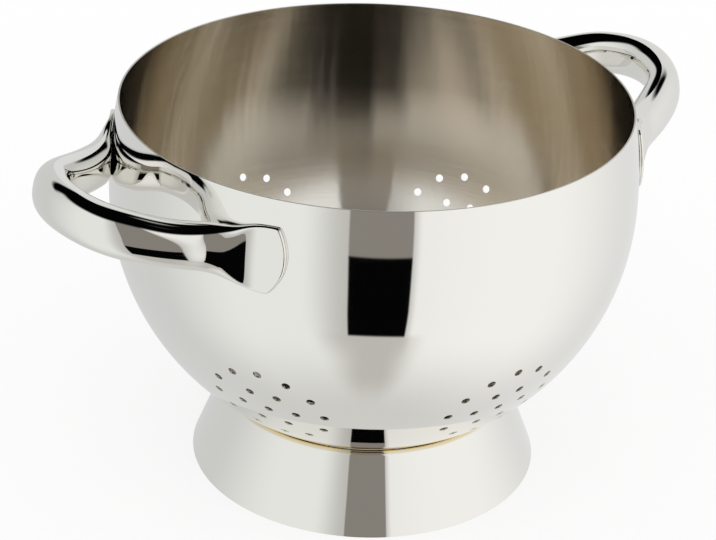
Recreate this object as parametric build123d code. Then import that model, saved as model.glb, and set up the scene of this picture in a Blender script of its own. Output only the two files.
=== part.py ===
from build123d import *
import os
from math import asin, atan2, cos, degrees, pi, radians, sin, sqrt

# Footed stainless steel colander: a pierced bowl, a flared foot ring and two loop handles.
# Lengths are in millimetres and angles in degrees. +Z is up, the handles lie along X, and the
# origin is the centre of the circle on which the foot stands.

# Bowl, drawn from one sheet
widest_diameter = 249.4
bowl_clearance = 18.0
shoulder_rise = 45.8
rim_inset = 4.7
bowl_wall = 0.9
rim_edge_radius = 0.3

# Drain holes, punched square to the wall in rosettes of one hole, six round it, then twelve
hole_diameter = 4.0
hole_pitch = 13.5
rosette_ring_counts = (1, 6, 12)
rosette_count = 6
rosette_fall = 33.0
first_rosette_azimuth = 30.0

# Foot ring, spun from one sheet, its top edge rolled in to a flange that seats under the bowl
foot_diameter = 170.2
foot_flare = 21.5
foot_wall = 1.0
foot_roll_radius = 2.6
foot_flange_width = 7.0

# Handles, each one length of tube with its ends pressed flat and spread into weld pads
handle_stand_out = 48.0
handle_wall = 1.0
loop_rise = 11.6
loop_thickness = 16.6
loop_height = 21.4
pad_drop = 27.3
pad_height = 31.5
pad_thickness = 2.2
pad_end_angle = 37.7
pad_root_angle = 25.3
pad_end_radius = 24.0
pad_end_lift = 2.5
pad_corner_radius = 2.0

# The gap that a weld leaves between two sheets, and how far a cutter runs past what it cuts
weld_gap = 0.1
overrun = 5.0

# Half a handle in stations from the pad's end to its root: the section as shares of the pad's
pad_thickness_shares = (1.0, 1.0, 1.1, 1.65, 2.7)
pad_height_shares = (1.0, 0.99, 0.96, 0.915, 0.87)
pad_rise_share = 0.09

# The free arm from the pad's root to the middle of the loop: places as shares of the pad end's
# offset, of the loop's depth and of its rise, then the section as shares of the loop's
arm_side_shares = (0.622, 0.531, 0.437, 0.311, 0.154, 0.0)
arm_out_shares = (0.35, 0.516, 0.743, 0.893, 0.969, 1.0)
arm_rise_shares = (0.17, 0.23, 0.57, 0.8, 0.92, 1.0)
arm_thickness_shares = (0.71, 0.9, 0.98, 1.0, 1.0, 1.0)
arm_height_shares = (1.09, 1.055, 1.03, 1.015, 1.0, 1.0)
arm_lean_shares = (0.6, 0.3, 0.1, 0.0, 0.0, 0.0)

widest_radius = widest_diameter / 2
widest_height = bowl_clearance + widest_radius
rim_height = widest_height + shoulder_rise
pad_centre_height = rim_height - pad_drop
handle_reach = widest_radius + handle_stand_out
foot_radius = foot_diameter / 2
bowl_centre = Vector(0, 0, widest_height)

# Above its widest circle the wall follows a larger arc that leaves the sphere upright
shoulder_radius = (shoulder_rise**2 + rim_inset**2) / (2 * rim_inset)


def wall_arc(height):
    """Radius of the arc that the wall's upright line follows at a height."""
    return shoulder_radius if height > widest_height else widest_radius


def wall_radius(height, out=0.0):
    """Radius at a height of the bowl's outer face, moved out by a distance."""
    rise = height - widest_height
    arc = wall_arc(height)
    return widest_radius - arc + sqrt((arc + out) ** 2 - rise**2)


def wall_line(out):
    """The bowl's outer line moved out by a distance, from the axis up to the rim."""
    radius = widest_radius + out
    diagonal = radius * sin(radians(45))
    bottom = (0, widest_height - radius)
    middle = (diagonal, widest_height - diagonal)
    widest = (radius, widest_height)
    halfway = widest_height + shoulder_rise / 2
    sphere = ThreePointArc(bottom, middle, widest)
    shoulder = ThreePointArc(
        widest, (wall_radius(halfway, out), halfway), (wall_radius(rim_height, out), rim_height)
    )
    return sphere, shoulder


def turned(outline):
    """A solid turned about Z from a face drawn in radius and height."""
    return revolve(Plane.XZ * outline, Axis.Z)


def spun_bowl():
    """The bowl before it is punched, with both edges of its cut rim broken."""
    outer = wall_line(0)
    inner = wall_line(-bowl_wall)
    rim = Line(outer[1] @ 1, inner[1] @ 1)
    bottom = Line(inner[0] @ 0, outer[0] @ 0)
    outline = make_face([*outer, rim, *inner, bottom])
    rim_corners = outline.vertices().group_by(Axis.Y)[-1]
    return turned(fillet(rim_corners, rim_edge_radius))


def rosette(fall, azimuth):
    """Directions from the bowl's centre to the holes of one rosette."""
    fall = radians(fall)
    heading = Vector(cos(fall), 0, -sin(fall))
    upward = Vector(sin(fall), 0, cos(fall))
    across = Vector(0, 1, 0)
    directions = []
    for ring, count in enumerate(rosette_ring_counts):
        spread = ring * hole_pitch / widest_radius
        for step in range(count):
            turn = 2 * pi * step / count
            side = across * cos(turn) + upward * sin(turn)
            direction = heading * cos(spread) + side * sin(spread)
            directions.append(direction.rotate(Axis.Z, azimuth))
    return directions


def pierced_bowl():
    """The bowl with a rosette of holes at its lowest point and more round its wall."""
    directions = rosette(90, 0)
    for number in range(rosette_count):
        directions += rosette(rosette_fall, first_rosette_azimuth + number * 360 / rosette_count)
    punches = []
    for direction in directions:
        seat = Plane(bowl_centre + direction * widest_radius, z_dir=direction)
        punches.append(seat * Cylinder(hole_diameter / 2, 2 * overrun))
    return spun_bowl() - punches


def foot_ring():
    """The foot: a flared cone whose top is rolled in and follows the underside of the bowl."""
    flare = radians(foot_flare)
    seat_radius = widest_radius + weld_gap
    under_radius = seat_radius + foot_wall
    bend_radius = foot_roll_radius - foot_wall

    # The roll's centre lies one roll radius inside the cone's face and outside the seat
    start = Vector(foot_radius - foot_roll_radius * cos(flare), -foot_roll_radius * sin(flare))
    climb = Vector(-sin(flare), cos(flare))
    drop = start - Vector(0, widest_height)
    along = drop.dot(climb)
    reach = seat_radius + foot_roll_radius
    roll_centre = start + climb * (-along - sqrt(along**2 - drop.dot(drop) + reach**2))

    # Angles of the seat's first and last point, seen from the bowl's centre
    offset = roll_centre - Vector(0, widest_height)
    first = atan2(offset.Y, offset.X)
    last = first - foot_flange_width / seat_radius

    def about(centre, radius, angle):
        return centre + Vector(cos(angle), sin(angle)) * radius

    def roll(radius):
        turn_end = first + pi
        angles = (flare, (flare + turn_end) / 2, turn_end)
        return ThreePointArc(*[about(roll_centre, radius, angle) for angle in angles])

    def flange(radius):
        centre = Vector(0, widest_height)
        angles = (first, (first + last) / 2, last)
        return ThreePointArc(*[about(centre, radius, angle) for angle in angles])

    outside = [roll(foot_roll_radius), flange(seat_radius)]
    inside = [roll(bend_radius), flange(under_radius)]
    toe = (foot_radius, 0)
    heel = (foot_radius - foot_wall / cos(flare), 0)
    outline = [
        Line(toe, outside[0] @ 0),
        *outside,
        Line(outside[1] @ 1, inside[1] @ 1),
        *inside,
        Line(inside[0] @ 0, heel),
        Line(heel, toe),
    ]
    return turned(make_face(outline))


def handle_stations():
    """Half a handle from the pad's end to the middle of the loop: place, section and lean."""
    pad_arc = wall_arc(pad_centre_height)
    wall_lean = degrees(asin((pad_centre_height - widest_height) / pad_arc))
    pad_rise = loop_rise * pad_rise_share
    stations = []
    last = len(pad_height_shares) - 1
    for number, thickness_share in enumerate(pad_thickness_shares):
        along = number / last
        angle = radians(pad_end_angle + (pad_root_angle - pad_end_angle) * along)
        height = pad_height * pad_height_shares[number]
        thickness = pad_thickness * thickness_share
        # The wall bulges into a flat pad by this much, so the pad is set that much deeper
        bulge = height**2 / (8 * pad_arc)
        level = pad_centre_height + pad_rise * along
        radius = wall_radius(level, weld_gap + thickness / 2 - bulge)
        place = Vector(radius * cos(angle), radius * sin(angle), level)
        stations.append((place, thickness, height, wall_lean))
    pad_end = stations[0][0]
    loop_depth = handle_reach - loop_thickness / 2 - pad_end.X
    for number, side_share in enumerate(arm_side_shares):
        place = Vector(
            pad_end.X + loop_depth * arm_out_shares[number],
            pad_end.Y * side_share,
            pad_centre_height + loop_rise * arm_rise_shares[number],
        )
        thickness = loop_thickness * arm_thickness_shares[number]
        height = loop_height * arm_height_shares[number]
        stations.append((place, thickness, height, wall_lean * arm_lean_shares[number]))
    return stations


def section_plane(stations, number):
    """The plane of one section: its X points away from the bowl and its Z along the tube."""
    place, _, _, lean = stations[number]
    before = stations[max(number - 1, 0)][0]
    after = stations[min(number + 1, len(stations) - 1)][0]
    run = (after - before).normalized()
    outward = run.cross(Vector(0, 0, -1)).rotate(Axis((0, 0, 0), run), lean)
    return Plane(place, x_dir=outward, z_dir=run)


def handle_sections(stations, wall=0.0):
    """Flattened round sections along the whole handle, each square to the tube's run."""
    sections = []
    for number, (_, thickness, height, _) in enumerate(stations):
        flattened = SlotOverall(height - 2 * wall, thickness - 2 * wall, rotation=90)
        sections.append(section_plane(stations, number) * flattened)
    return sections


def mirrored(stations):
    """The stations of both halves, from one pad's end round the loop to the other's."""
    other = [(Vector(p.X, -p.Y, p.Z), *section) for p, *section in stations[-2::-1]]
    return stations + other


def pad_end_cutters(stations):
    """Cutters that give both pads' ends their outward arc with two softened corners."""
    section = section_plane(stations, 0)
    face = Plane(section.origin, x_dir=-section.z_dir, z_dir=section.x_dir)
    arc = Pos(-pad_end_radius, pad_end_lift) * Rot(Z=180) * Circle(pad_end_radius)
    end = arc & Pos(-pad_end_radius / 2) * Rectangle(pad_end_radius, pad_height)
    corners = end.vertices().sort_by(Axis.X)[-2:]
    width = pad_end_radius / 2
    block = Rectangle(width + overrun, pad_height + overrun, align=(Align.MIN, Align.CENTER))
    cutter = extrude(face * (Pos(-width) * block - fillet(corners, pad_corner_radius)), overrun, both=True)
    return [cutter, mirror(cutter, Plane.XZ)]


def handle_right():
    """The handle at +X, hollow along its loop and seated on the bowl's wall."""
    stations = handle_stations()
    hollow_from = len(pad_height_shares) - 1
    tube = loft(handle_sections(mirrored(stations)))
    bore = loft(handle_sections(mirrored(stations[hollow_from:]), handle_wall))
    outer = wall_line(weld_gap)
    top = outer[1] @ 1
    axis_top = Vector(0, top.Y)
    body = turned(make_face([*outer, Line(top, axis_top), Line(axis_top, outer[0] @ 0)]))
    return tube - bore - body - pad_end_cutters(stations)


os.makedirs("parts", exist_ok=True)
handle = handle_right()
parts = {
    "bowl": pierced_bowl(),
    "foot_ring": foot_ring(),
    "handle_left": handle.rotate(Axis.Z, 180),
    "handle_right": handle,
}
for name, solid in parts.items():
    export_step(solid, f"parts/{name}.step")
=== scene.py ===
# %% [markdown]
# # A footed stainless steel colander
#
# The object is four pieces of sheet and tube: a bowl drawn and punched from one sheet, a foot
# ring spun from another, and two tube handles. Nearly everything you see of it is a reflection,
# so this lesson spends its care on smooth surfaces, on true normals and on the studio round it.
#
# The CAD model is loaded first. It fixes every size and place, and nothing here may move it.

# %% Load the frame
from math import asin, atan2, cos, degrees, hypot, pi, radians, sin, sqrt

import bmesh
import bpy
import numpy as np
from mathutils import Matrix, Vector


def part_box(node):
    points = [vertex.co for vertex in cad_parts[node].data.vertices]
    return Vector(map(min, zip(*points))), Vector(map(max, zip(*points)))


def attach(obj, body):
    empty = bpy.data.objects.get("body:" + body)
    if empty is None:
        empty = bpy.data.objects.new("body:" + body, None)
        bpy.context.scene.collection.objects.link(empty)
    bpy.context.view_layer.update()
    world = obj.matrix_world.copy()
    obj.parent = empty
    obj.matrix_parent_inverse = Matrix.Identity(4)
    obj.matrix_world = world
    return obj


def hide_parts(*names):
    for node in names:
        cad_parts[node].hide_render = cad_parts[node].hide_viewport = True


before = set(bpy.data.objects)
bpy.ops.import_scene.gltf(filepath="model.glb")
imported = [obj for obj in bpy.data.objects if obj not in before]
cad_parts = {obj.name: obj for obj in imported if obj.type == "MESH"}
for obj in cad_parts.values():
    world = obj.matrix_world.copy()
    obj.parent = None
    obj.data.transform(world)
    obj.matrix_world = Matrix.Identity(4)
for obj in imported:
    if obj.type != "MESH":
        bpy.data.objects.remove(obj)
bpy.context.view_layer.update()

scene = bpy.context.scene
MM = 0.001
print("nodes:", sorted(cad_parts))

# %% [markdown]
# The driving sizes come from the CAD boxes where a box shows them. The bowl's widest circle, its
# rim and the foot's lower edge are the three circles that everything else hangs on.

# %% Take the main sizes
WIDEST_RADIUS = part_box("bowl")[1][0]
RIM_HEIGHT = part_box("bowl")[1][2]
WIDEST_HEIGHT = 142.7 * MM
RIM_RADIUS = 120.0 * MM
WALL = 0.9 * MM
FOOT_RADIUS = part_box("foot_ring")[1][0]
HANDLE_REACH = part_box("handle_right")[1][0]
print(f"widest {2 * WIDEST_RADIUS / MM:.1f} mm, rim at {RIM_HEIGHT / MM:.1f} mm")
print(f"foot {2 * FOOT_RADIUS / MM:.1f} mm, handles reach {HANDLE_REACH / MM:.1f} mm")

# %% [markdown]
# ## The camera
#
# The camera was solved from the photograph: the rim, the widest circle, the foot's circle and the
# rosettes of holes give its place, its turn and its lens together. It looks down by about 28
# degrees through a long lens, slightly rolled.

# %% Set the camera
camera_data = bpy.data.cameras.new("camera")
camera_data.lens = 113.1
camera_data.sensor_width = 36.0
camera = bpy.data.objects.new("camera", camera_data)
camera.location = (-0.56326, -0.77983, 0.60502)
camera.rotation_euler = [radians(angle) for angle in (62.151, -2.072, -34.407)]
scene.collection.objects.link(camera)
scene.camera = camera
scene.view_settings.view_transform = "Standard"
print("camera is", round(hypot(*camera.location[:2]), 3), "m out and", camera.location.z, "m up")

# %% [markdown]
# ## One helper for every node
#
# Geometry trees, materials and the world are all node trees. This one function adds a node of any
# kind, sets its settings, and then links or sets each input that it is given. Most inputs go by
# name. A Mix node repeats its names for each kind of value, so its inputs go by number: 0 is the
# share, 6 and 7 are the two colours, and output 2 is the mixed colour.

# %% Define the node helper
def add(tree, kind, settings=None, inputs=None):
    """Add a node; an input may be a number, a socket, or a node whose first output is meant."""
    node = tree.nodes.new(kind)
    for name, value in (settings or {}).items():
        setattr(node, name, value)
    for key, value in (inputs or {}).items():
        if isinstance(value, bpy.types.Node):
            value = value.outputs[0]
        if isinstance(value, bpy.types.NodeSocket):
            tree.links.new(value, node.inputs[key])
        else:
            node.inputs[key].default_value = value
    return node


def linear(code):
    """A linear colour from an sRGB hex code."""
    shares = [int(code[i:i + 2], 16) / 255 for i in (1, 3, 5)]
    return [c / 12.92 if c <= 0.04045 else ((c + 0.055) / 1.055) ** 2.4 for c in shares] + [1.0]


def new_material(name):
    """A material with an empty node tree, and that tree."""
    material = bpy.data.materials.new(name)
    material.use_nodes = True
    material.node_tree.nodes.clear()
    return material, material.node_tree


print("mid grey #808080 is", round(linear("#808080")[0], 3), "in linear light")

# %% [markdown]
# ## The studio
#
# A mirror shows the room more than itself. The photograph's reflections were followed back to
# their directions. They show a pale tent all round and below, dark at the top, and one dark
# upright opening near the camera. A real tent is near, and each piece sees it from its own place,
# but a world lies at infinity. So the dark top was tuned until the render came close to the
# photograph: it starts lower behind and round the opening, for the handles, than on the right,
# for the bowl's inside. The world gives the tent to glossy rays only. Camera rays and diffuse rays
# see plain white, so the light is even and the floor stays pale under any view.

# %% Build the tent
world = bpy.data.worlds.new("studio_tent")
scene.world = world
world.use_nodes = True
world.cycles.sampling_method = "NONE"
tent = world.node_tree
tent.nodes.clear()

OPENING_AZIMUTH = -121.7
direction = add(tent, "ShaderNodeTexCoord").outputs["Generated"]
turned = add(tent, "ShaderNodeVectorRotate", {"rotation_type": "Z_AXIS"},
             {"Vector": direction, "Angle": radians(-OPENING_AZIMUTH)})
parts = add(tent, "ShaderNodeSeparateXYZ", inputs={0: turned})
azimuth = add(tent, "ShaderNodeMath", {"operation": "ARCTAN2"},
              {0: parts.outputs["Y"], 1: parts.outputs["X"]})
azimuth = add(tent, "ShaderNodeMath", {"operation": "DEGREES"}, {0: azimuth})
elevation = add(tent, "ShaderNodeMath", {"operation": "ARCSINE"}, {0: parts.outputs["Z"]})
elevation = add(tent, "ShaderNodeMath", {"operation": "DEGREES"}, {0: elevation})

# Each feature has the azimuths from the opening and the elevations, in degrees, from where it
# starts to where it is full and from there to where it ends, then its colour and its share. The
# later ones lie over the earlier ones.
NO_START, NO_END = (-999.0, -998.0), (998.0, 999.0)
ALL = NO_START + NO_END
OPENING_SIDES = (-13.4, -12.4, 12.6, 13.4)
DARK = "#030304"
features = (
    ("cloth on the right", (-20.0, 60.0) + NO_END, ALL, "#FFFEFC", 1.0),
    ("far cloth on the right", (72.0, 140.0) + NO_END, ALL, "#E6E6E6", 1.0),
    ("far cloth on the left", NO_START + (-118.0, -58.0), ALL, "#D6D7D7", 1.0),
    ("lower cloth", ALL, NO_START + (-85.0, -40.0), "#D6D6D4", 1.0),
    ("shade by the opening",
     (-34.0, -12.0, 12.0, 17.0), (-56.0, -38.0) + NO_END, "#6E6A60", 0.45),
    ("shade under the opening",
     (-30.0, -5.0, 5.0, 26.0), (-85.0, -62.0, -42.0, -38.0), "#C4C2BD", 1.0),
    ("opening", OPENING_SIDES, (-41.0, -39.5) + NO_END, "#8C8781", 1.0),
    ("dark foot of the opening", OPENING_SIDES, (-41.0, -39.5, -14.8, -14.0), "#050506", 1.0),
    ("dark top round the opening", NO_START + (46.0, 68.0), (40.0, 50.0) + NO_END, DARK, 1.0),
    ("dark top behind on the left", NO_START + (-130.0, -112.0), (27.0, 34.0) + NO_END, DARK, 1.0),
    ("dark top behind", (136.0, 150.0) + NO_END, (40.0, 50.0) + NO_END, DARK, 1.0),
    ("dark top", ALL, (58.0, 72.0) + NO_END, "#040404", 1.0),
)
cloth = linear("#F2F3F1")
for feature, azimuths, elevations, colour, share in features:
    mask = share
    for value, edges in ((azimuth, azimuths), (elevation, elevations)):
        for start, end in (edges[:2], edges[:1:-1]):
            edge = add(tent, "ShaderNodeMapRange", {"interpolation_type": "SMOOTHSTEP"},
                       {"Value": value, "From Min": start, "From Max": end})
            mask = add(tent, "ShaderNodeMath", {"operation": "MULTIPLY"}, {0: mask, 1: edge})
    cloth = add(tent, "ShaderNodeMix", {"data_type": "RGBA"},
                {0: mask, 6: cloth, 7: linear(colour)}).outputs[2]
    print("tent has", feature)

rays = add(tent, "ShaderNodeLightPath")
white = linear("#FFFFFF")
seen = add(tent, "ShaderNodeMix", {"data_type": "RGBA"},
           {0: rays.outputs["Is Glossy Ray"], 6: white, 7: cloth}).outputs[2]
seen = add(tent, "ShaderNodeMix", {"data_type": "RGBA"},
           {0: rays.outputs["Is Camera Ray"], 6: seen, 7: white}).outputs[2]
background = add(tent, "ShaderNodeBackground", inputs={"Color": seen, "Strength": 1.0})
add(tent, "ShaderNodeOutputWorld", inputs={"Surface": background})
print("tent nodes:", len(tent.nodes))

# %% [markdown]
# The floor is a pale matt sheet. It takes the object's soft shadow. Three quarters of what the
# camera sees of it is its own white, so that it meets the white world without a line. Mirrors
# don't see it: below the horizon they see the tent's pale cloth, as the photograph shows.

# %% Lay the floor
HALF_SIDE = 3000.0 * MM
corners = [(x * HALF_SIDE, y * HALF_SIDE, 0) for x, y in ((-1, -1), (1, -1), (1, 1), (-1, 1))]
floor_mesh = bpy.data.meshes.new("floor")
floor_mesh.from_pydata(corners, [], [(0, 1, 2, 3)])
floor = bpy.data.objects.new("floor", floor_mesh)
scene.collection.objects.link(floor)
floor.visible_glossy = False

# The grain is counted across the whole sheet, so each is 6.7 mm: coarser than real paper's
OWN_WHITE = 0.75
GRAINS_ACROSS = 900.0
paper, tree = new_material("matt_white_paper_sweep")
grain = add(tree, "ShaderNodeTexNoise", inputs={"Scale": GRAINS_ACROSS, "Detail": 2.0})
tone = add(tree, "ShaderNodeMapRange",
           inputs={"Value": grain.outputs[0], "To Min": 0.985, "To Max": 1.0})
matt = add(tree, "ShaderNodeBsdfDiffuse", inputs={"Color": tone, "Roughness": 1.0})
glow = add(tree, "ShaderNodeEmission", inputs={"Strength": 1.0})
seen_by = add(tree, "ShaderNodeLightPath").outputs["Is Camera Ray"]
own_white = add(tree, "ShaderNodeMath", {"operation": "MULTIPLY"}, {0: seen_by, 1: OWN_WHITE})
mixed = add(tree, "ShaderNodeMixShader", inputs={0: own_white, 1: matt, 2: glow})
add(tree, "ShaderNodeOutputMaterial", inputs={"Surface": mixed})
floor_mesh.materials.append(paper)
print("floor:", [round(side, 2) for side in floor.dimensions])

# %% [markdown]
# ## Mirror-polished stainless steel, outside the bowl
#
# The outside was spun, ground and then buffed to a mirror on a soft wheel. Polished stainless is
# nearly neutral, with a touch of yellow. What keeps it from looking like chrome paint is small:
# buffing marks a fraction of a millimetre wide that run round the axis, and a sheet that is never
# quite true, so that straight reflections waver a little. The marks are drawn 0.4 mm wide, a few
# times wider than real ones, which a render of this size wouldn't show.

# %% Polish the outside
polished, tree = new_material("mirror_polished_stainless_steel")
where = add(tree, "ShaderNodeTexCoord").outputs["Object"]
MARK_WIDTH, MARK_LENGTH = 0.4 * MM, 40.0 * MM
ring_space = add(tree, "ShaderNodeVectorMath", {"operation": "MULTIPLY"},
                 {0: where, 1: (1 / MARK_LENGTH, 1 / MARK_LENGTH, 1 / MARK_WIDTH)})
marks = add(tree, "ShaderNodeTexNoise", inputs={"Vector": ring_space, "Scale": 1.0, "Detail": 3.0})
smear = add(tree, "ShaderNodeTexNoise", inputs={
    "Vector": where, "Scale": 1 / (45.45 * MM), "Detail": 3.0})
both = add(tree, "ShaderNodeMath", {"operation": "MULTIPLY"}, {0: marks, 1: smear})
rough = add(tree, "ShaderNodeMapRange", inputs={
    "Value": both, "From Min": 0.1, "From Max": 0.45, "To Min": 0.018, "To Max": 0.036})
sheet_wave = add(tree, "ShaderNodeTexNoise", inputs={
    "Vector": where, "Scale": 1 / (71.43 * MM), "Detail": 1.0})
waver = add(tree, "ShaderNodeBump", inputs={
    "Strength": 1.0, "Distance": 0.2 * MM, "Height": sheet_wave})
buffed = add(tree, "ShaderNodeBump", inputs={
    "Strength": 0.4, "Distance": 0.001 * MM, "Height": marks, "Normal": waver})
metal = add(tree, "ShaderNodeBsdfPrincipled", inputs={
    "Base Color": linear("#F1F0EC"), "Metallic": 1.0, "Roughness": rough, "Normal": buffed})
add(tree, "ShaderNodeOutputMaterial", inputs={"Surface": metal})
print(polished.name, "has", len(tree.nodes), "nodes")

# %% [markdown]
# ## Brushed stainless steel, inside the bowl
#
# The inside was brushed while the bowl turned. The fine scratches run round the axis, so they
# spread a reflection across themselves, up and down the wall: each bright hole opposite becomes a
# soft upright streak. The shader's anisotropy does that, with a tangent that follows the turn and
# is then rotated by a quarter. Scratches 0.1 mm wide are drawn 0.5 mm wide to show at all. Two
# more things are guesses that bring the render closer to the photograph: a faint upright ripple,
# about 12 mm wide, which bands the reflections, and a lighter colour low down. That colour is
# painted light, standing in for the brighter reflection low on the wall.

# %% Brush the inside
brushed, tree = new_material("turned_and_brushed_stainless_steel")
where = add(tree, "ShaderNodeTexCoord").outputs["Object"]
SCRATCH_WIDTH, SCRATCH_LENGTH = 0.5 * MM, 71.43 * MM
ring_space = add(tree, "ShaderNodeVectorMath", {"operation": "MULTIPLY"},
                 {0: where, 1: (1 / SCRATCH_LENGTH, 1 / SCRATCH_LENGTH, 1 / SCRATCH_WIDTH)})
scratches = add(tree, "ShaderNodeTexNoise", inputs={
    "Vector": ring_space, "Scale": 1.0, "Detail": 4.0, "Roughness": 0.6})
tone = add(tree, "ShaderNodeMix", {"data_type": "RGBA"},
           {0: scratches, 6: linear("#BFB39F"), 7: linear("#D0C6B4")}).outputs[2]
# From here down the inside is painted lighter: painted light that stands in for a brighter
# reflection low on the wall.
LIGHTER_FROM, LIGHTEST_AT = 150.0 * MM, 85.0 * MM
height = add(tree, "ShaderNodeSeparateXYZ", inputs={0: where}).outputs["Z"]
painted_light_low_down = add(tree, "ShaderNodeMapRange", {"interpolation_type": "SMOOTHSTEP"}, {
    "Value": height, "From Min": LIGHTER_FROM, "From Max": LIGHTEST_AT})
tone = add(tree, "ShaderNodeMix", {"data_type": "RGBA"},
           {0: painted_light_low_down, 6: tone, 7: linear("#EFECE6")}).outputs[2]
rough = add(tree, "ShaderNodeMapRange", inputs={
    "Value": scratches, "From Min": 0.3, "From Max": 0.7, "To Min": 0.12, "To Max": 0.15})
RIPPLE_WIDTH, RIPPLE_LENGTH = 12.5 * MM, 333.3 * MM
upright = add(tree, "ShaderNodeVectorMath", {"operation": "MULTIPLY"},
              {0: where, 1: (1 / RIPPLE_WIDTH, 1 / RIPPLE_WIDTH, 1 / RIPPLE_LENGTH)})
ripple = add(tree, "ShaderNodeTexNoise", inputs={"Vector": upright, "Scale": 1.0, "Detail": 2.0})
rippled = add(tree, "ShaderNodeBump", inputs={
    "Strength": 1.0, "Distance": 0.1 * MM, "Height": ripple})
grooves = add(tree, "ShaderNodeBump", inputs={
    "Strength": 0.5, "Distance": 0.002 * MM, "Height": scratches, "Normal": rippled})
around = add(tree, "ShaderNodeTangent", {"direction_type": "RADIAL", "axis": "Z"})
metal = add(tree, "ShaderNodeBsdfPrincipled", inputs={
    "Base Color": tone, "Metallic": 1.0, "Roughness": rough, "Normal": grooves,
    "Anisotropic": 1.0, "Anisotropic Rotation": 0.25, "Tangent": around})
add(tree, "ShaderNodeOutputMaterial", inputs={"Surface": metal})
print(brushed.name, "has", len(tree.nodes), "nodes")

# %% [markdown]
# ## Sheared edges
#
# The rim and the walls of the holes are where a tool went through the sheet. A shear leaves a
# bright burnished band and a dull torn one, both across the thickness. Fine random grit stands
# for the two, and it is rougher than either skin.

# %% Shear the edges
sheared, tree = new_material("sheared_stainless_steel_edge")
where = add(tree, "ShaderNodeTexCoord").outputs["Object"]
grit = add(tree, "ShaderNodeTexNoise", inputs={
    "Vector": where, "Scale": 1 / (0.6 * MM), "Detail": 2.0})
rough = add(tree, "ShaderNodeMapRange", inputs={"Value": grit, "To Min": 0.22, "To Max": 0.42})
torn = add(tree, "ShaderNodeBump", inputs={"Strength": 0.4, "Distance": 0.01 * MM, "Height": grit})
metal = add(tree, "ShaderNodeBsdfPrincipled", inputs={
    "Base Color": linear("#CFCBC2"), "Metallic": 1.0, "Roughness": rough, "Normal": torn})
add(tree, "ShaderNodeOutputMaterial", inputs={"Surface": metal})
print(sheared.name, "has", len(tree.nodes), "nodes")

# %% [markdown]
# ## The foot's steel
#
# The foot has the same mirror as the bowl. Its rolled top edge is where it was welded. A straw
# tint is laid on that edge and fades within little more than a millimetre below its top. The tint
# follows the height.

# %% Tint the foot's lip
tinted, tree = new_material("mirror_polished_stainless_steel_with_straw_tinted_lip")
where = add(tree, "ShaderNodeTexCoord").outputs["Object"]
height = add(tree, "ShaderNodeSeparateXYZ", inputs={0: where}).outputs["Z"]
ring_space = add(tree, "ShaderNodeVectorMath", {"operation": "MULTIPLY"},
                 {0: where, 1: (1 / MARK_LENGTH, 1 / MARK_LENGTH, 1 / MARK_WIDTH)})
marks = add(tree, "ShaderNodeTexNoise", inputs={"Vector": ring_space, "Scale": 1.0, "Detail": 3.0})
drift = add(tree, "ShaderNodeTexNoise", inputs={
    "Vector": where, "Scale": 1 / (33.33 * MM), "Detail": 2.0})
drift = add(tree, "ShaderNodeMapRange", inputs={
    "Value": drift, "To Min": -0.5 * MM, "To Max": 0.5 * MM})
level = add(tree, "ShaderNodeMath", {"operation": "ADD"}, {0: height, 1: drift})
LIP_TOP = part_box("foot_ring")[1][2]
TINT_DEPTH = 1.3 * MM
straw_tint = add(tree, "ShaderNodeMapRange", {"interpolation_type": "SMOOTHSTEP"}, {
    "Value": level, "From Min": LIP_TOP - TINT_DEPTH, "From Max": LIP_TOP})
tone = add(tree, "ShaderNodeMix", {"data_type": "RGBA"},
           {0: straw_tint, 6: linear("#EFEEEA"), 7: linear("#EBDCB8")}).outputs[2]
rough = add(tree, "ShaderNodeMapRange", inputs={
    "Value": marks, "From Min": 0.3, "From Max": 0.7, "To Min": 0.018, "To Max": 0.036})
sheet_wave = add(tree, "ShaderNodeTexNoise", inputs={
    "Vector": where, "Scale": 1 / (62.5 * MM), "Detail": 1.0})
waver = add(tree, "ShaderNodeBump", inputs={
    "Strength": 1.0, "Distance": 0.12 * MM, "Height": sheet_wave})
metal = add(tree, "ShaderNodeBsdfPrincipled", inputs={
    "Base Color": tone, "Metallic": 1.0, "Roughness": rough, "Normal": waver})
add(tree, "ShaderNodeOutputMaterial", inputs={"Surface": metal})
print(tinted.name, "has", len(tree.nodes), "nodes")

# %% [markdown]
# ## The handles' steel
#
# The handles are bent tube, buffed by hand against a wheel, so their marks have no one direction.
# Hands polish them further: the gloss drifts over a few centimetres, and the flattened ends keep
# a faint unevenness from the press.

# %% Buff the handles
buffed_tube, tree = new_material("hand_buffed_stainless_steel_tube")
where = add(tree, "ShaderNodeTexCoord").outputs["Object"]
marks = add(tree, "ShaderNodeTexNoise", inputs={
    "Vector": where, "Scale": 1 / (0.5 * MM), "Detail": 3.0})
drift = add(tree, "ShaderNodeTexNoise", inputs={
    "Vector": where, "Scale": 1 / (25.0 * MM), "Detail": 2.0})
both = add(tree, "ShaderNodeMath", {"operation": "MULTIPLY"}, {0: marks, 1: drift})
rough = add(tree, "ShaderNodeMapRange", inputs={
    "Value": both, "From Min": 0.1, "From Max": 0.45, "To Min": 0.018, "To Max": 0.035})
press_wave = add(tree, "ShaderNodeTexNoise", inputs={
    "Vector": where, "Scale": 1 / (22.22 * MM), "Detail": 1.0})
waver = add(tree, "ShaderNodeBump", inputs={
    "Strength": 1.0, "Distance": 0.03 * MM, "Height": press_wave})
metal = add(tree, "ShaderNodeBsdfPrincipled", inputs={
    "Base Color": linear("#EDECE8"), "Metallic": 1.0, "Roughness": rough, "Normal": waver})
add(tree, "ShaderNodeOutputMaterial", inputs={"Surface": metal})
print(buffed_tube.name, "has", len(tree.nodes), "nodes")

# %% [markdown]
# ## Outlines
#
# The bowl and the foot are surfaces of revolution: a spinner presses a flat disc over a turning
# former. Each starts as its outline, drawn once in radius and height. A line gets extra points
# close to its ends, so that smooth shading bends only there and the flat runs stay flat.

# %% Draw arcs and lines
SAME_POINT = 1e-7


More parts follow.
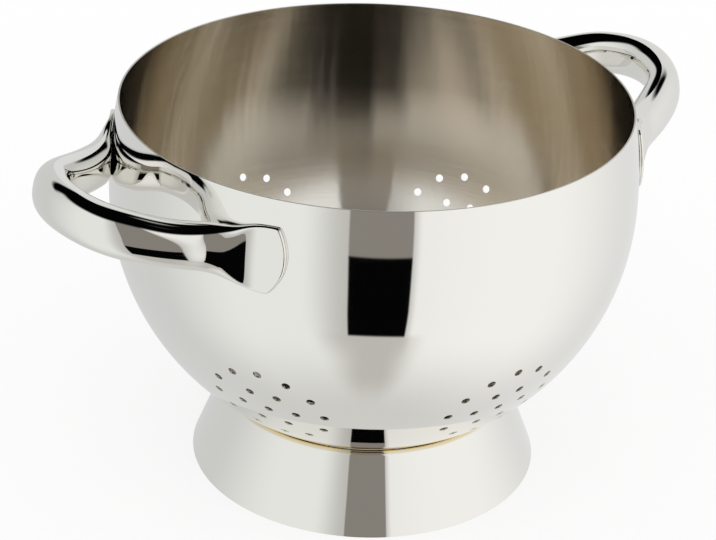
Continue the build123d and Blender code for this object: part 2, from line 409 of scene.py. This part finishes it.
def arc(centre, radius, start, end, count):
    """Points on an arc from one angle to another, in degrees."""
    angles = [radians(start + (end - start) * i / count) for i in range(count + 1)]
    return [(centre[0] + radius * cos(a), centre[1] + radius * sin(a)) for a in angles]


def line(start, end, lead=0.4 * MM):
    """A line's ends with a support point a short lead inside each."""
    length = hypot(end[0] - start[0], end[1] - start[1])
    shares = (0, lead / length, 0.5, 1 - lead / length, 1) if length > 3 * lead else (0, 1)
    return [tuple(a + (b - a) * s for a, b in zip(start, end)) for s in shares]


def outline(name, pieces):
    """A closed outline as a mesh of edges in X and Y, with no point twice."""
    points = []
    for point in [p for piece in pieces for p in piece]:
        if not points or hypot(point[0] - points[-1][0], point[1] - points[-1][1]) > SAME_POINT:
            points.append(point)
    if hypot(points[0][0] - points[-1][0], points[0][1] - points[-1][1]) < SAME_POINT:
        points.pop()
    mesh = bpy.data.meshes.new(name)
    edges = [(i, (i + 1) % len(points)) for i in range(len(points))]
    mesh.from_pydata([(x, y, 0) for x, y in points], edges, [])
    obj = bpy.data.objects.new(name, mesh)
    scene.collection.objects.link(obj)
    print(name, "outline has", len(points), "points")
    return obj


# %% [markdown]
# ## The bowl's outline
#
# Below its widest circle the wall is a sphere. Above it the wall follows a larger arc that leaves
# the sphere upright and leans in by less than 5 mm at the rim. The rim is simply cut and its two
# edges are broken. The outline stops a little short of the axis, inside the middle hole of the
# lowest rosette, so that no pole is left to close.

# %% Draw the bowl's outline
HOLE_RADIUS = 2.0 * MM
SHOULDER_RISE = RIM_HEIGHT - WIDEST_HEIGHT
SHOULDER_INSET = WIDEST_RADIUS - RIM_RADIUS
SHOULDER_RADIUS = (SHOULDER_RISE**2 + SHOULDER_INSET**2) / (2 * SHOULDER_INSET)
SHOULDER_CENTRE = (WIDEST_RADIUS - SHOULDER_RADIUS, WIDEST_HEIGHT)
SPHERE_CENTRE = (0.0, WIDEST_HEIGHT)
RIM_ROUND = 0.3 * MM
SPHERE_STEPS, SHOULDER_STEPS = 72, 16

# The wall leans in by this many degrees at the rim, where the rounding of its edge starts
RIM_LEAN = 12


def skin(inset):
    """The wall's line at a distance in from the outer skin, from the middle hole to the rim."""
    radius = WIDEST_RADIUS - inset
    start = -90 + degrees(asin(HOLE_RADIUS / 2 / radius))
    rise = RIM_HEIGHT - RIM_ROUND - WIDEST_HEIGHT
    end = degrees(asin(rise / (SHOULDER_RADIUS - inset)))
    return (arc(SPHERE_CENTRE, radius, start, 0, SPHERE_STEPS)
            + arc(SHOULDER_CENTRE, SHOULDER_RADIUS - inset, 0, end, SHOULDER_STEPS))


outer_skin = skin(0.0)
inner_skin = skin(WALL)
rim_out = (outer_skin[-1][0] - RIM_ROUND, outer_skin[-1][1])
rim_in = (inner_skin[-1][0] + RIM_ROUND, inner_skin[-1][1])
bowl = outline("bowl_shell", [
    outer_skin, arc(rim_out, RIM_ROUND, RIM_LEAN, 90, 4),
    arc(rim_in, RIM_ROUND, 90, 180, 4), inner_skin[::-1],
])

# %% [markdown]
# ## Spinning
#
# Spinning follows a rule, so Geometry Nodes do it: the outline is swept along a circle. Its
# coordinates are taken from the circle's line, because the sweep measures a profile from there.
# The tree is a function of the outline and two named sizes, and it serves the bowl, the foot and
# the punch alike. What it makes is turned into a plain mesh, and the modifier goes with the object
# that carried it.

# %% Open a tree with named inputs, and run it
def new_tree(name, sizes):
    """A geometry tree with geometry in and out, and a named input for each size."""
    tree = bpy.data.node_groups.new(name, "GeometryNodeTree")
    tree.interface.new_socket("Geometry", in_out="INPUT", socket_type="NodeSocketGeometry")
    tree.interface.new_socket("Geometry", in_out="OUTPUT", socket_type="NodeSocketGeometry")
    kinds = {int: "NodeSocketInt", float: "NodeSocketFloat",
             bpy.types.Object: "NodeSocketObject", bpy.types.Material: "NodeSocketMaterial"}
    for size, value in sizes.items():
        tree.interface.new_socket(size, in_out="INPUT", socket_type=kinds[type(value)])
    return tree, add(tree, "NodeGroupInput").outputs


def run_tree(obj, tree, sizes, name):
    """Run the tree on an object with these sizes; the result is a plain mesh in a new object."""
    modifier = obj.modifiers.new(tree.name, "NODES")
    modifier.node_group = tree
    sockets = {s.name: s.identifier for s in tree.interface.items_tree if s.in_out == "INPUT"}
    for size, value in sizes.items():
        modifier[sockets[size]] = value
    bpy.context.view_layer.update()
    evaluated = obj.evaluated_get(bpy.context.evaluated_depsgraph_get())
    mesh = bpy.data.meshes.new_from_object(evaluated)
    mesh.name = name
    for slot in reversed(range(len(mesh.materials))):
        if mesh.materials[slot] is None:
            mesh.materials.pop(index=slot)
    bpy.data.objects.remove(obj)
    made = bpy.data.objects.new(name, mesh)
    scene.collection.objects.link(made)
    print(name, "has", len(mesh.vertices), "vertices and", len(mesh.polygons), "faces")
    return made


# %% Add the spinning nodes to a tree
MERGE_WITHIN = 1e-6


def spun(tree, size):
    """Sweep the outline round the Z axis; its X is the radius and its Y the height."""
    inward = add(tree, "ShaderNodeMath", {"operation": "MULTIPLY"}, {0: size["Radius"], 1: -1.0})
    inward = add(tree, "ShaderNodeCombineXYZ", inputs={0: inward})
    profile = add(tree, "GeometryNodeTransform",
                  inputs={"Geometry": size["Geometry"], "Translation": inward})
    profile = add(tree, "GeometryNodeTransform",
                  inputs={"Geometry": profile, "Scale": (1.0, -1.0, 1.0)})
    profile = add(tree, "GeometryNodeMeshToCurve", inputs={0: profile})
    circle = add(tree, "GeometryNodeCurvePrimitiveCircle",
                 inputs={"Resolution": size["Segments"], "Radius": size["Radius"]})
    swept = add(tree, "GeometryNodeCurveToMesh", inputs={0: circle, "Profile Curve": profile})
    swept = add(tree, "GeometryNodeFlipFaces", inputs={0: swept})
    return add(tree, "GeometryNodeMergeByDistance", inputs={0: swept, "Distance": MERGE_WITHIN})


# %% [markdown]
# ## The punch
#
# The punch is a short bar with a flared shoulder. Punching from outside draws the sheet's skin
# down round the hole, and the flare leaves that soft lip. It is spun like the rest, from an
# outline that touches the axis.

# %% Spin the punch
FLARE = 0.22 * MM
HOLE_SEGMENTS = 24
TIP, BACK = -3 * WALL, 2 * WALL
punch_sizes = {"Radius": HOLE_RADIUS, "Segments": HOLE_SEGMENTS, "Material": sheared}
spin_tree, size = new_tree("spun_part", punch_sizes)
realized = add(spin_tree, "GeometryNodeRealizeInstances", inputs={0: spun(spin_tree, size)})
coated = add(spin_tree, "GeometryNodeSetMaterial",
             inputs={"Geometry": realized, "Material": size["Material"]})
add(spin_tree, "NodeGroupOutput", inputs={0: coated})
punch = run_tree(outline("punch_outline", [[
    (0.0, TIP), (HOLE_RADIUS, TIP), (HOLE_RADIUS, -FLARE),
    (HOLE_RADIUS + 0.35 * FLARE, -0.35 * FLARE), (HOLE_RADIUS + 1.6 * FLARE, 0.35 * FLARE),
    (HOLE_RADIUS + 1.6 * FLARE, BACK), (0.0, BACK)]]), spin_tree, punch_sizes, "punch")

# %% [markdown]
# ## Punching the rosettes
#
# One rosette is a hole, a ring of 6 round it and a ring of 12 round those, spaced on a sphere. It
# is made at the sphere's lowest point, where the bowl has one. A copy is tilted up and set six
# times round the wall. A punch then stands on every point, square to the wall, and a boolean
# takes them all out of the sheet at once.

# %% Lay out one rosette on a unit sphere
ROSETTES = 6
RINGS = ((1.0, 6), (2.0, 12))


def rosette(tree, size):
    """A middle hole and two rings of holes round the lowest point of a unit sphere."""
    rings = [add(tree, "GeometryNodeMeshLine", inputs={"Count": 1})]
    for ring, holes in RINGS:
        spread = add(tree, "ShaderNodeMath", {"operation": "MULTIPLY"},
                     {0: size["Hole pitch"], 1: ring})
        spread = add(tree, "ShaderNodeMath", {"operation": "DIVIDE"},
                     {0: spread, 1: size["Radius"]})
        width = add(tree, "ShaderNodeMath", {"operation": "SINE"}, {0: spread})
        depth = add(tree, "ShaderNodeMath", {"operation": "COSINE"}, {0: spread})
        climb = add(tree, "ShaderNodeMath", {"operation": "SUBTRACT"}, {0: 1.0, 1: depth})
        climb = add(tree, "ShaderNodeCombineXYZ", inputs={2: climb})
        circle = add(tree, "GeometryNodeMeshCircle", inputs={"Vertices": holes, "Radius": width})
        rings.append(add(tree, "GeometryNodeTransform", inputs={
            "Geometry": circle, "Translation": climb, "Rotation": (0.0, 0.0, pi / 2)}))
    joined = add(tree, "GeometryNodeJoinGeometry")
    for ring in rings:
        tree.links.new(ring.outputs[0], joined.inputs[0])
    return add(tree, "GeometryNodeTransform",
               inputs={"Geometry": joined, "Translation": (0.0, 0.0, -1.0)})


# %% Spread the rosettes and stand the punches
def punches(tree, size):
    """A punch on each hole of the lowest rosette and of those round the wall."""
    lowest = rosette(tree, size)
    tilt = add(tree, "ShaderNodeMath", {"operation": "SUBTRACT"}, {0: size["Fall"], 1: pi / 2})
    tilt = add(tree, "ShaderNodeCombineXYZ", inputs={1: tilt})
    raised = add(tree, "GeometryNodeTransform", inputs={"Geometry": lowest, "Rotation": tilt})
    places = add(tree, "GeometryNodeMeshLine",
                 inputs={"Count": size["Rosettes"], "Offset": (0.0, 0.0, 0.0)})
    share = add(tree, "ShaderNodeMath", {"operation": "DIVIDE"},
                {0: add(tree, "GeometryNodeInputIndex"), 1: size["Rosettes"]})
    turn = add(tree, "ShaderNodeMath", {"operation": "MULTIPLY_ADD"},
               {0: share, 1: 2 * pi, 2: size["First azimuth"]})
    turn = add(tree, "ShaderNodeCombineXYZ", inputs={2: turn})
    around_wall = add(tree, "GeometryNodeInstanceOnPoints",
                      inputs={"Points": places, "Instance": raised, "Rotation": turn})
    around_wall = add(tree, "GeometryNodeRealizeInstances", inputs={0: around_wall})
    holes = add(tree, "GeometryNodeJoinGeometry")
    for part in (lowest, around_wall):
        tree.links.new(part.outputs[0], holes.inputs[0])
    upright = add(tree, "FunctionNodeAlignRotationToVector", {"axis": "Z"},
                  {"Vector": add(tree, "GeometryNodeInputPosition")})
    tool = add(tree, "GeometryNodeObjectInfo", inputs={"Object": size["Punch"]})
    centre = add(tree, "ShaderNodeCombineXYZ", inputs={2: size["Widest height"]})
    marked = add(tree, "GeometryNodeStoreNamedAttribute", {"data_type": "QUATERNION"},
                 {0: holes, "Name": "upright", "Value": upright})
    on_wall = add(tree, "ShaderNodeVectorMath", {"operation": "MULTIPLY_ADD"}, {
        0: add(tree, "GeometryNodeInputPosition"), 1: size["Radius"], 2: centre})
    marked = add(tree, "GeometryNodeSetPosition", inputs={0: marked, "Position": on_wall})
    upright = add(tree, "GeometryNodeInputNamedAttribute", {"data_type": "QUATERNION"},
                  {"Name": "upright"})
    stood = add(tree, "GeometryNodeInstanceOnPoints", inputs={
        "Points": marked, "Instance": tool.outputs["Geometry"], "Rotation": upright.outputs[0]})
    return add(tree, "GeometryNodeRealizeInstances", inputs={0: stood})


# %% Spin, punch and coat the bowl
TURN_SEGMENTS = 256
SKIN_FACING = 0.8
bowl_sizes = {
    "Radius": WIDEST_RADIUS, "Segments": TURN_SEGMENTS, "Widest height": WIDEST_HEIGHT,
    "Punch": punch, "Hole pitch": 13.5 * MM, "Rosettes": ROSETTES,
    "Fall": radians(33.0), "First azimuth": radians(30.0),
    "Outside": polished, "Inside": brushed, "Edges": sheared,
}
bowl_tree, size = new_tree("spun_and_punched_bowl", bowl_sizes)
cut = add(bowl_tree, "GeometryNodeMeshBoolean", {"operation": "DIFFERENCE", "solver": "MANIFOLD"},
          {0: spun(bowl_tree, size), 1: punches(bowl_tree, size)})
centre = add(bowl_tree, "ShaderNodeCombineXYZ", inputs={2: size["Widest height"]})
outward = add(bowl_tree, "ShaderNodeVectorMath", {"operation": "SUBTRACT"},
              {0: add(bowl_tree, "GeometryNodeInputPosition"), 1: centre})
outward = add(bowl_tree, "ShaderNodeVectorMath", {"operation": "NORMALIZE"}, {0: outward})
facing = add(bowl_tree, "ShaderNodeVectorMath", {"operation": "DOT_PRODUCT"},
             {0: outward, 1: add(bowl_tree, "GeometryNodeInputNormal")}).outputs["Value"]
coated = add(bowl_tree, "GeometryNodeRealizeInstances", inputs={0: cut})
coated = add(bowl_tree, "GeometryNodeSetMaterial",
             inputs={"Geometry": coated, "Material": size["Edges"]})
for side, operation, limit in (("Outside", "GREATER_THAN", SKIN_FACING),
                               ("Inside", "LESS_THAN", -SKIN_FACING)):
    faces_so = add(bowl_tree, "FunctionNodeCompare", {"operation": operation},
                   {0: facing, 1: limit})
    coated = add(bowl_tree, "GeometryNodeSetMaterial", inputs={
        "Geometry": coated, "Selection": faces_so, "Material": size[side]})
add(bowl_tree, "NodeGroupOutput", inputs={0: coated})
bowl = run_tree(bowl, bowl_tree, bowl_sizes, "bowl_sheet")
bpy.data.objects.remove(punch)
holes = (1 + ROSETTES) * (1 + sum(count for _, count in RINGS))
print("holes:", holes, "materials:", [m.name for m in bowl.data.materials])

# %% [markdown]
# ## True normals
#
# A boolean leaves long thin faces round the holes, and their averaged normals would crumple the
# mirror. Both skins have exact normals, though: they point from the sphere's centre, or above the
# widest circle from the shoulder arc's. Each corner of a skin face is given that exact direction,
# and the edges keep the normals that Blender works out from their own shape.

# %% Give both skins exact normals
def wall_normals(points):
    """Outward normals of the bowl's wall at points near it."""
    rise = points[:, 2] - WIDEST_HEIGHT
    ring = np.hypot(points[:, 0], points[:, 1])
    out = np.where(rise > 0, ring - SHOULDER_CENTRE[0], ring)
    length = np.hypot(out, rise)
    scale = out / length / np.maximum(ring, 1e-9)
    return np.stack([points[:, 0] * scale, points[:, 1] * scale, rise / length], 1)


def read(items, name, width, kind=np.float32):
    """A property of all the items of a mesh as one array."""
    values = np.empty(len(items) * width, kind)
    items.foreach_get(name, values)
    return values.reshape(-1, width) if width > 1 else values


SHARP_FROM = radians(50)
mesh = bowl.data
mesh.set_sharp_from_angle(angle=SHARP_FROM)
points = read(mesh.vertices, "co", 3)
corner_vertex = read(mesh.loops, "vertex_index", 1, np.int32)
corner_counts = read(mesh.polygons, "loop_total", 1, np.int32)
face_slot = np.repeat(read(mesh.polygons, "material_index", 1, np.int32), corner_counts)
normals = read(mesh.corner_normals, "vector", 3)
exact = wall_normals(points[corner_vertex])
slots = [m.name for m in mesh.materials]
outside = face_slot == slots.index(polished.name)
inside = face_slot == slots.index(brushed.name)
normals[outside] = exact[outside]
normals[inside] = -exact[inside]
mesh.normals_split_custom_set(normals.tolist())
print("corners: outside", outside.sum(), "inside", inside.sum(),
      "edges", (~(outside | inside)).sum())

# %% [markdown]
# ## The foot ring
#
# The foot is a cone whose top edge is rolled inwards through more than half a turn, until it runs
# under the bowl. The roll touches the bowl's skin along one circle, which leaves the dark groove
# that shows above the foot. Its lower edge is cut and lightly broken. The same spinning tree
# makes it.

# %% Draw the foot's outline
FLARE_ANGLE = 21.5
FOOT_WALL = 1.0 * MM
ROLL_RADIUS = 2.6 * MM
FLANGE_WIDTH = 7.0 * MM
SEAT_GAP = 0.1 * MM
EDGE_ROUND = 0.25 * MM
lean = radians(FLARE_ANGLE)
seat = WIDEST_RADIUS + SEAT_GAP

# The roll's centre lies one roll radius inside the cone and one outside the seat
start = np.array([FOOT_RADIUS - ROLL_RADIUS * cos(lean), -ROLL_RADIUS * sin(lean)])
climb = np.array([-sin(lean), cos(lean)])
drop = start - np.array(SPHERE_CENTRE)
along = drop @ climb
roll_centre = start + climb * (-along - sqrt(along**2 - drop @ drop + (seat + ROLL_RADIUS) ** 2))
offset = roll_centre - np.array(SPHERE_CENTRE)
touch = degrees(atan2(offset[1], offset[0]))
flange_end = touch - degrees(FLANGE_WIDTH / seat)

cone_out = np.array([FOOT_RADIUS, 0.0])
cone_in = np.array([FOOT_RADIUS - FOOT_WALL / cos(lean), 0.0])
outer_top = roll_centre + ROLL_RADIUS * np.array([cos(lean), sin(lean)])
inner_top = roll_centre + (ROLL_RADIUS - FOOT_WALL) * np.array([cos(lean), sin(lean)])
toe = cone_out + climb * EDGE_ROUND
heel = cone_in + climb * EDGE_ROUND
foot = outline("foot_outline", [
    [(cone_out[0] - EDGE_ROUND, 0.0), (cone_out[0] - 0.35 * EDGE_ROUND, 0.25 * EDGE_ROUND)],
    line(toe, outer_top),
    arc(roll_centre, ROLL_RADIUS, FLARE_ANGLE, touch + 180, 20),
    arc(SPHERE_CENTRE, seat, touch, flange_end, 5),
    arc(SPHERE_CENTRE, seat + FOOT_WALL, flange_end, touch, 5),
    arc(roll_centre, ROLL_RADIUS - FOOT_WALL, touch + 180, FLARE_ANGLE, 12),
    line(inner_top, heel),
    [(cone_in[0] + EDGE_ROUND, 0.0)],
])

# %% Spin the foot
foot_sizes = {"Radius": FOOT_RADIUS, "Segments": TURN_SEGMENTS, "Material": tinted}
foot = run_tree(foot, spin_tree, foot_sizes, "foot_sheet")
foot.data.set_sharp_from_angle(angle=SHARP_FROM)
print("foot top at", round(max(v.co.z for v in foot.data.vertices) / MM, 2), "mm")

# %% [markdown]
# ## The handles
#
# Each handle is one length of tube. Its middle is bent to a loop and squeezed to a flattened
# round, and its two ends are pressed flat and spread into pads that lie on the wall. The girth
# stays close to that of the tube all along, so where the handle gets thinner it gets taller. The
# stations run from the end of a pad to the middle of the loop. They were fitted to the photograph
# and then evened out. A natural spline through them and their mirror images gives the place, the
# thickness and the height of every section.

# %% Set the stations
# Distance to the side, out from the axis and up from the widest circle, then thickness and
# height, all in mm, and how far the section leans back, in degrees
stations = np.array([
    (76.6, 99.2, 18.5, 2.2, 31.4, 4.9),
    (69.2, 103.9, 18.6, 2.2, 31.4, 4.2),
    (62.3, 109.4, 18.9, 3.1, 28.9, 5.9),
    (55.4, 114.8, 19.7, 9.0, 24.0, 7.5),
    (48.7, 120.5, 20.4, 14.1, 21.9, 6.9),
    (43.9, 127.9, 21.2, 16.3, 21.1, 7.7),
    (39.7, 135.5, 22.3, 17.2, 21.0, 8.8),
    (35.4, 143.1, 24.0, 17.1, 21.2, 10.0),
    (30.7, 150.3, 25.9, 16.5, 21.6, 11.1),
    (24.7, 156.5, 27.7, 16.3, 21.5, 11.3),
    (17.1, 160.8, 29.0, 16.4, 21.4, 10.5),
    (8.8, 163.4, 29.9, 16.4, 21.4, 9.7),
    (0.0, 164.3, 30.2, 16.4, 21.4, 9.1),
]) * [MM, MM, MM, MM, MM, pi / 180]
mirrored = stations[-2::-1] * [-1, 1, 1, 1, 1, 1]
stations = np.concatenate([stations, mirrored])


def natural_spline(values, at):
    """Values at fractional station numbers, on a natural cubic spline through all stations."""
    count = len(values)
    rows = np.eye(count)
    right = np.zeros_like(values)
    for i in range(1, count - 1):
        rows[i, i - 1:i + 2] = (1, 4, 1)
        right[i] = 6 * (values[i - 1] - 2 * values[i] + values[i + 1])
    bend = np.linalg.solve(rows, right)
    low = np.clip(np.floor(at).astype(int), 0, count - 2)
    t = (at - low)[:, None]
    return (values[low] * (1 - t) + values[low + 1] * t
            + bend[low] * ((1 - t) ** 3 - (1 - t)) / 6 + bend[low + 1] * (t**3 - t) / 6)


# Sections crowd at the pad's end, which is rounded. The distances from that end and from one
# station to the next are in mm.
STATION_STEP = 8.83
END_SECTIONS = (0, 0.03, 0.1, 0.3, 0.6, 1.1, 1.8, 2.6, 3.6, 4.7, 5.8, 7.0, 8.3)
EVEN_FROM, EVEN_SECTIONS = 9.7, 110
half_way = (len(stations) - 1) / 2
even = np.linspace(EVEN_FROM / STATION_STEP, half_way, EVEN_SECTIONS)
at = np.concatenate([np.array(END_SECTIONS) / STATION_STEP, even])
at = np.concatenate([at, 2 * half_way - at[-2::-1]])
sections = natural_spline(stations, at)
print("sections:", len(sections), "from", len(stations), "stations")

# %% [markdown]
# A section is a flattened round: in the loop it is close to an ellipse that is a little squarer,
# and in the pad it is a plate whose edges are fully rounded. The pad ends in an outward arc whose
# centre lies a little above the pad's middle. Near the pad the section is laid out along the
# wall, so the pad curves with it, and in the loop it is laid out square to the tube. A smooth
# share goes from one to the other, and nothing is allowed closer to the wall than the pad's gap.

# %% Form one handle
END_RADIUS, END_LIFT, END_SOFTENING = 24.0 * MM, 2.5 * MM, 1.5 * MM
COLUMNS = 72
SQUARENESS = 2.35

# The stations between which a plate turns to a round
ROUND_FROM, ROUND_AT = 1.8, 3.3


def smooth(value, low, high):
    """A smooth step from 0 at low to 1 at high."""
    share = np.clip((value - low) / (high - low), 0, 1)
    return share * share * (3 - 2 * share)


def soft_least(first, second):
    """The lesser of two lengths, rounded off where they are nearly equal."""
    share = np.clip(0.5 + 0.5 * (second - first) / END_SOFTENING, 0, 1)
    return second + (first - second) * share - END_SOFTENING * share * (1 - share)


def wall_radius(height):
    """The wall's outer radius at a height above the widest circle."""
    above = SHOULDER_CENTRE[0] + np.sqrt(SHOULDER_RADIUS**2 - height**2)
    below = np.sqrt(WIDEST_RADIUS**2 - height**2)
    return np.where(height > 0, above, below)


place = sections[:, :3]
run = np.gradient(place, axis=0)
run /= np.linalg.norm(run, axis=1)[:, None]
travelled = np.concatenate([[0], np.cumsum(np.linalg.norm(np.diff(place, axis=0), axis=1))])
from_end = np.minimum(travelled, travelled[-1] - travelled)[:, None]
thick, tall, lean_back = sections[:, 3:4], sections[:, 4:5], sections[:, 5:6]

# The end's arc says how high and how low each section may reach
to_centre = np.clip(END_RADIUS - from_end, 0, None)
spread = np.sqrt(END_RADIUS**2 - to_centre**2)
high = soft_least(tall / 2, spread + END_LIFT)
low = -soft_least(tall / 2, spread - END_LIFT)

turn = (np.arange(COLUMNS) + 0.5) * 2 * pi / COLUMNS
across, upward = np.cos(turn)[None, :], np.sin(turn)[None, :]
rise = np.sign(upward) * np.abs(upward) ** (2 / SQUARENESS)
rise = (high + low) / 2 + (high - low) / 2 * rise

# Distance of each point from the plate's outline, within which its edge is rounded
to_arc = END_RADIUS - np.hypot(to_centre, rise - END_LIFT)
edge = np.minimum(np.minimum(high - rise, rise - low), to_arc)
bluff = np.clip(edge, 0, thick / 2)
plate = np.sign(across) * np.sqrt(np.clip((thick / 2) ** 2 - (thick / 2 - bluff) ** 2, 0, None))
round_tube = np.sign(across) * np.abs(across) ** (2 / SQUARENESS) * thick / 2
station = np.minimum(at, 2 * half_way - at)[:, None]
outward = plate + (round_tube - plate) * smooth(station, ROUND_FROM, ROUND_AT)
print("section grid:", outward.shape, "tube length", round(travelled[-1] / MM, 1), "mm")

# %% Lay the sections along the wall and the loop
# The stations between which a section leaves the wall, and the least gap under the pads
LEAVES_FROM, FREE_AT = 1.7, 3.1
PAD_GAP = 0.15 * MM

# Square to the tube: the thickness lies level, but for the section's own lean
level = np.cross(run, [0, 0, -1.0])
level /= np.linalg.norm(level, axis=1)[:, None]
level *= np.sign((level * (place + [0, 1e-6, 0])).sum(1))[:, None]
steep = np.cross(level, run)
steep *= np.sign(steep[:, 2])[:, None]
face = level * np.cos(lean_back) + steep * np.sin(lean_back)
stand = steep * np.cos(lean_back) - level * np.sin(lean_back)
squared = (place[:, None, :] + face[:, None, :] * outward[..., None]
           + stand[:, None, :] * rise[..., None])

# Along the wall: the same offsets measured up the wall and out from it
heading = np.arctan2(place[:, 0:1], place[:, 1:2])
height = place[:, 2:3] + rise * np.cos(lean_back)
place_radius = np.hypot(place[:, 0:1], place[:, 1:2])
radius = wall_radius(height) - wall_radius(place[:, 2:3]) + place_radius + outward
laid = np.stack([radius * np.sin(heading), radius * np.cos(heading), height], 2)

on_wall = 1 - smooth(station, LEAVES_FROM, FREE_AT)[..., None]
surface = squared + (laid - squared) * on_wall
ring = np.hypot(surface[..., 0], surface[..., 1])
least = wall_radius(surface[..., 2]) + PAD_GAP
surface[..., :2] *= np.maximum(1, least / ring)[..., None]

# The loop stands out along X, and the grid closes on itself at both pad ends
points = np.stack([surface[..., 1], surface[..., 0], surface[..., 2] + WIDEST_HEIGHT], 2)
points[..., 0] *= np.where(points[..., 0] > HANDLE_REACH, HANDLE_REACH / points[..., 0], 1)
rows, columns = points.shape[:2]
faces = [(r * columns + c, r * columns + (c + 1) % columns,
          (r + 1) * columns + (c + 1) % columns, (r + 1) * columns + c)
         for r in range(rows - 1) for c in range(columns)]
print("handle reaches", round(points[..., 0].max() / MM, 2), "mm")


# %% Make both handles
def handle(name, turn_by):
    """A handle's mesh object, turned about the bowl's axis."""
    mesh = bpy.data.meshes.new(name)
    mesh.from_pydata((points.reshape(-1, 3) * [turn_by, turn_by, 1]).tolist(), [], faces)
    work = bmesh.new()
    work.from_mesh(mesh)
    bmesh.ops.remove_doubles(work, verts=work.verts, dist=MERGE_WITHIN)
    bmesh.ops.recalc_face_normals(work, faces=work.faces)
    work.to_mesh(mesh)
    work.free()
    mesh.polygons.foreach_set("use_smooth", [True] * len(mesh.polygons))
    mesh.materials.append(buffed_tube)
    obj = bpy.data.objects.new(name, mesh)
    scene.collection.objects.link(obj)
    print(name, "has", len(mesh.vertices), "vertices")
    return obj


handle_right = handle("handle_right_tube", 1)
handle_left = handle("handle_left_tube", -1)

# %% [markdown]
# ## Tying the pieces on
#
# Each piece replaces its CAD node and rides on the one body of a part without joints.

# %% Tie the pieces to the frame
for piece, node, steel in (
    (bowl, "bowl", "bowl_steel"),
    (foot, "foot_ring", "foot_steel"),
    (handle_left, "handle_left", "handle_steel"),
    (handle_right, "handle_right", "handle_steel"),
):
    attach(piece, "root")
    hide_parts(node)
    print(piece.name, "replaces", node)
